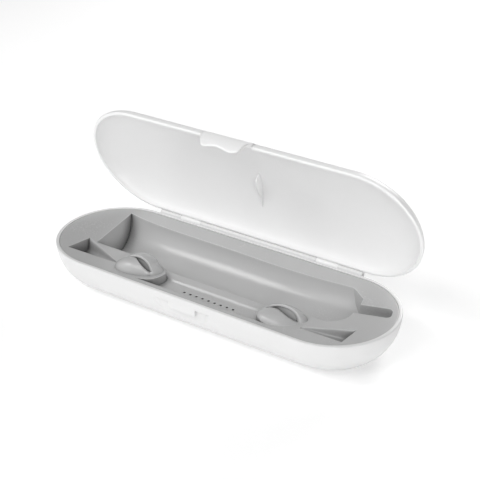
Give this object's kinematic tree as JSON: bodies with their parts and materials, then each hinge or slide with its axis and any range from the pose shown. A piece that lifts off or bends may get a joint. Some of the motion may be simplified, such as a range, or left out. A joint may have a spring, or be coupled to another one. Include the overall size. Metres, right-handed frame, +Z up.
{
  "type": "electric toothbrush travel case",
  "caption": "Long round-ended travel case with a hinged domed lid and a moulded insert for a toothbrush handle and brush heads, lid standing open.",
  "frame": {"origin": "centre of the flat underside of the base", "axes": "+Z up, +X along the length with the shaft groove at its +X end, +Y towards the hinge"},
  "size_m": [0.234, 0.0886, 0.1066],
  "materials": {
    "white_shell": "satin white moulded plastic",
    "white_latch": "satin white moulded plastic",
    "grey_insert": "satin grey moulded plastic",
    "pin_steel": "drawn wire"
  },
  "bodies": {
    "base": {"base_shell": "white_shell", "insert_tray": "grey_insert", "hinge_pin_left": "pin_steel", "hinge_pin_right": "pin_steel"},
    "lid": {"lid_shell": "white_shell", "latch_pin": "pin_steel"},
    "latch": {"latch_tab": "white_latch"}
  },
  "joints": [
    {"name": "lid_hinge", "type": "hinge", "parent": "base", "child": "lid", "pos_m": [0, 0.04125, 0.02686], "axis": [-1, 0, 0], "range_deg": [-71.7, 38.3]},
    {"name": "latch_swing", "type": "hinge", "parent": "lid", "child": "latch", "pos_m": [0, 0.01951, 0.10325], "axis": [-1, 0, 0], "range_deg": [-14, 40]}
  ]
}
